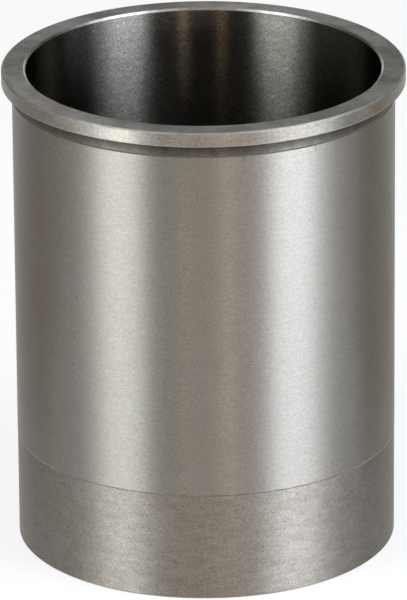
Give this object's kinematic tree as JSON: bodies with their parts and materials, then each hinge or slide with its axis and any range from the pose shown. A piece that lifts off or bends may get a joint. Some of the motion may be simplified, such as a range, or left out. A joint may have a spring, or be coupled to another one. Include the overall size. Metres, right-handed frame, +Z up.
{
  "type": "cylinder liner",
  "caption": "Dry cylinder liner: a thin cast-iron sleeve with a top flange, a relief groove under it, a ground body, a turned skirt and a honed bore.",
  "frame": {"origin": "centre of the foot, the lower end face that the liner stands on", "axes": "+Z up along the bore axis, from the foot to the flange; X and Y are arbitrary, the part is turned"},
  "size_m": [0.1044, 0.1044, 0.1284],
  "materials": {
    "machined_cast_iron": "bare machined grey iron: ground outside, plain turned skirt, honed bore, faced deck, lightly stained"
  },
  "bodies": {
    "root": {"cylinder_liner": "machined_cast_iron"}
  },
  "joints": []
}
